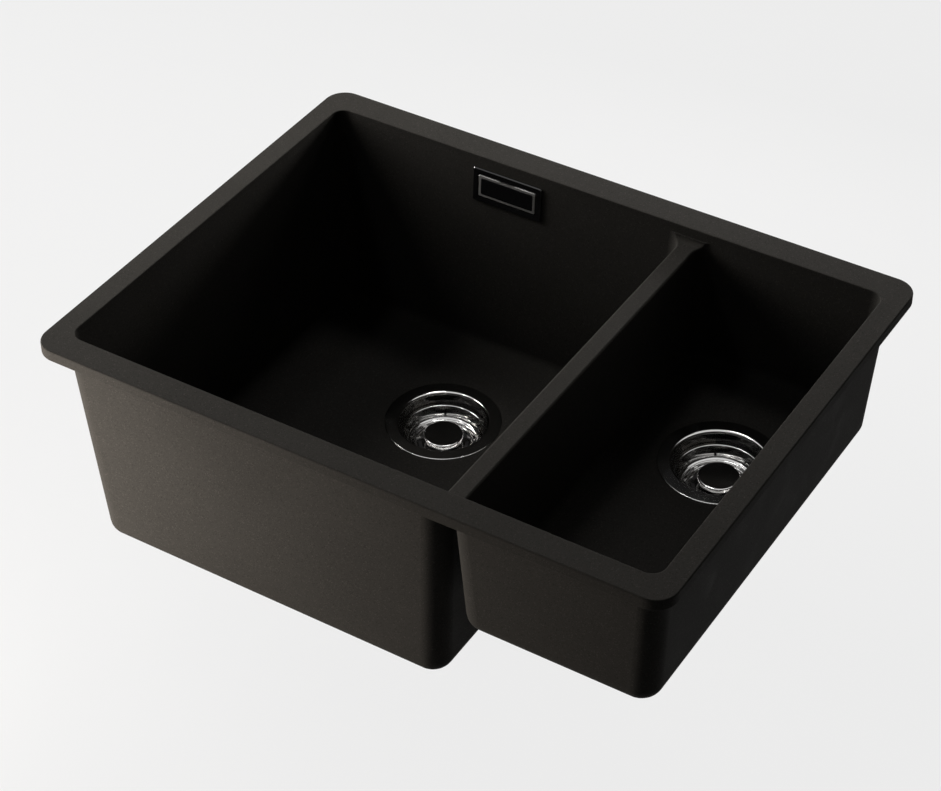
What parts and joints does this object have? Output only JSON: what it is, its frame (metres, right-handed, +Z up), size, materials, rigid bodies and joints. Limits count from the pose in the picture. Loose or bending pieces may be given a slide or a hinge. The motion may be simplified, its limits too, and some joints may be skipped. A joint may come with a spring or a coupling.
{
  "type": "double bowl kitchen sink",
  "caption": "Undermount kitchen sink with a large and a small bowl side by side, lowered divider, lift-out strainer baskets and a rear overflow.",
  "frame": {"origin": "centre of the rim's outline, on the rim's flat top face, where the worktop's underside lies", "axes": "+Z up out of the bowls, +X along the sink from the large bowl to the small one, +Y to the back, where the overflow is"},
  "size_m": [0.59, 0.45, 0.2825],
  "materials": {
    "composite": "fine-grained matt stone composite, very dark brown-black",
    "polished_steel": "polished pressed stainless steel",
    "chrome": "bright chrome",
    "steel": "plain stainless steel",
    "brass": "turned brass",
    "rubber": "black seal rubber",
    "black_plastic": "moulded black plastic, fine satin",
    "frame_plastic": "moulded black plastic, satin",
    "gloss_black": "high-gloss black, plain"
  },
  "bodies": {
    "sink": {"sink_basin": "composite", "main_strainer_cup": "polished_steel", "main_flange_seal": "rubber", "main_body_seal": "rubber", "main_waste_body": "black_plastic", "main_outlet_tail": "black_plastic", "main_thread_insert": "brass", "main_centre_screw": "steel", "half_strainer_cup": "polished_steel", "half_flange_seal": "rubber", "half_body_seal": "rubber", "half_waste_body": "black_plastic", "half_outlet_tail": "black_plastic", "half_thread_insert": "brass", "half_centre_screw": "steel", "overflow_frame": "frame_plastic", "overflow_gasket": "rubber", "overflow_housing": "black_plastic", "overflow_housing_seal": "rubber", "overflow_screws": "steel"},
    "main_basket_set": {"main_basket": "polished_steel", "main_basket_knob": "polished_steel", "main_basket_stopper": "rubber"},
    "half_basket_set": {"half_basket": "polished_steel", "half_basket_knob": "polished_steel", "half_basket_stopper": "rubber"},
    "overflow_cover": {"overflow_bezel": "chrome", "overflow_plate": "gloss_black"}
  },
  "joints": [
    {"name": "main_basket_lift", "type": "slide", "parent": "sink", "child": "main_basket_set", "axis": [0, 0, 1], "range_m": [0, 0.26]},
    {"name": "half_basket_lift", "type": "slide", "parent": "sink", "child": "half_basket_set", "axis": [0, 0, 1], "range_m": [0, 0.18]},
    {"name": "overflow_cover_pull", "type": "slide", "parent": "sink", "child": "overflow_cover", "axis": [0, -0.9984, 0.0558], "range_m": [0, 0.06]}
  ]
}
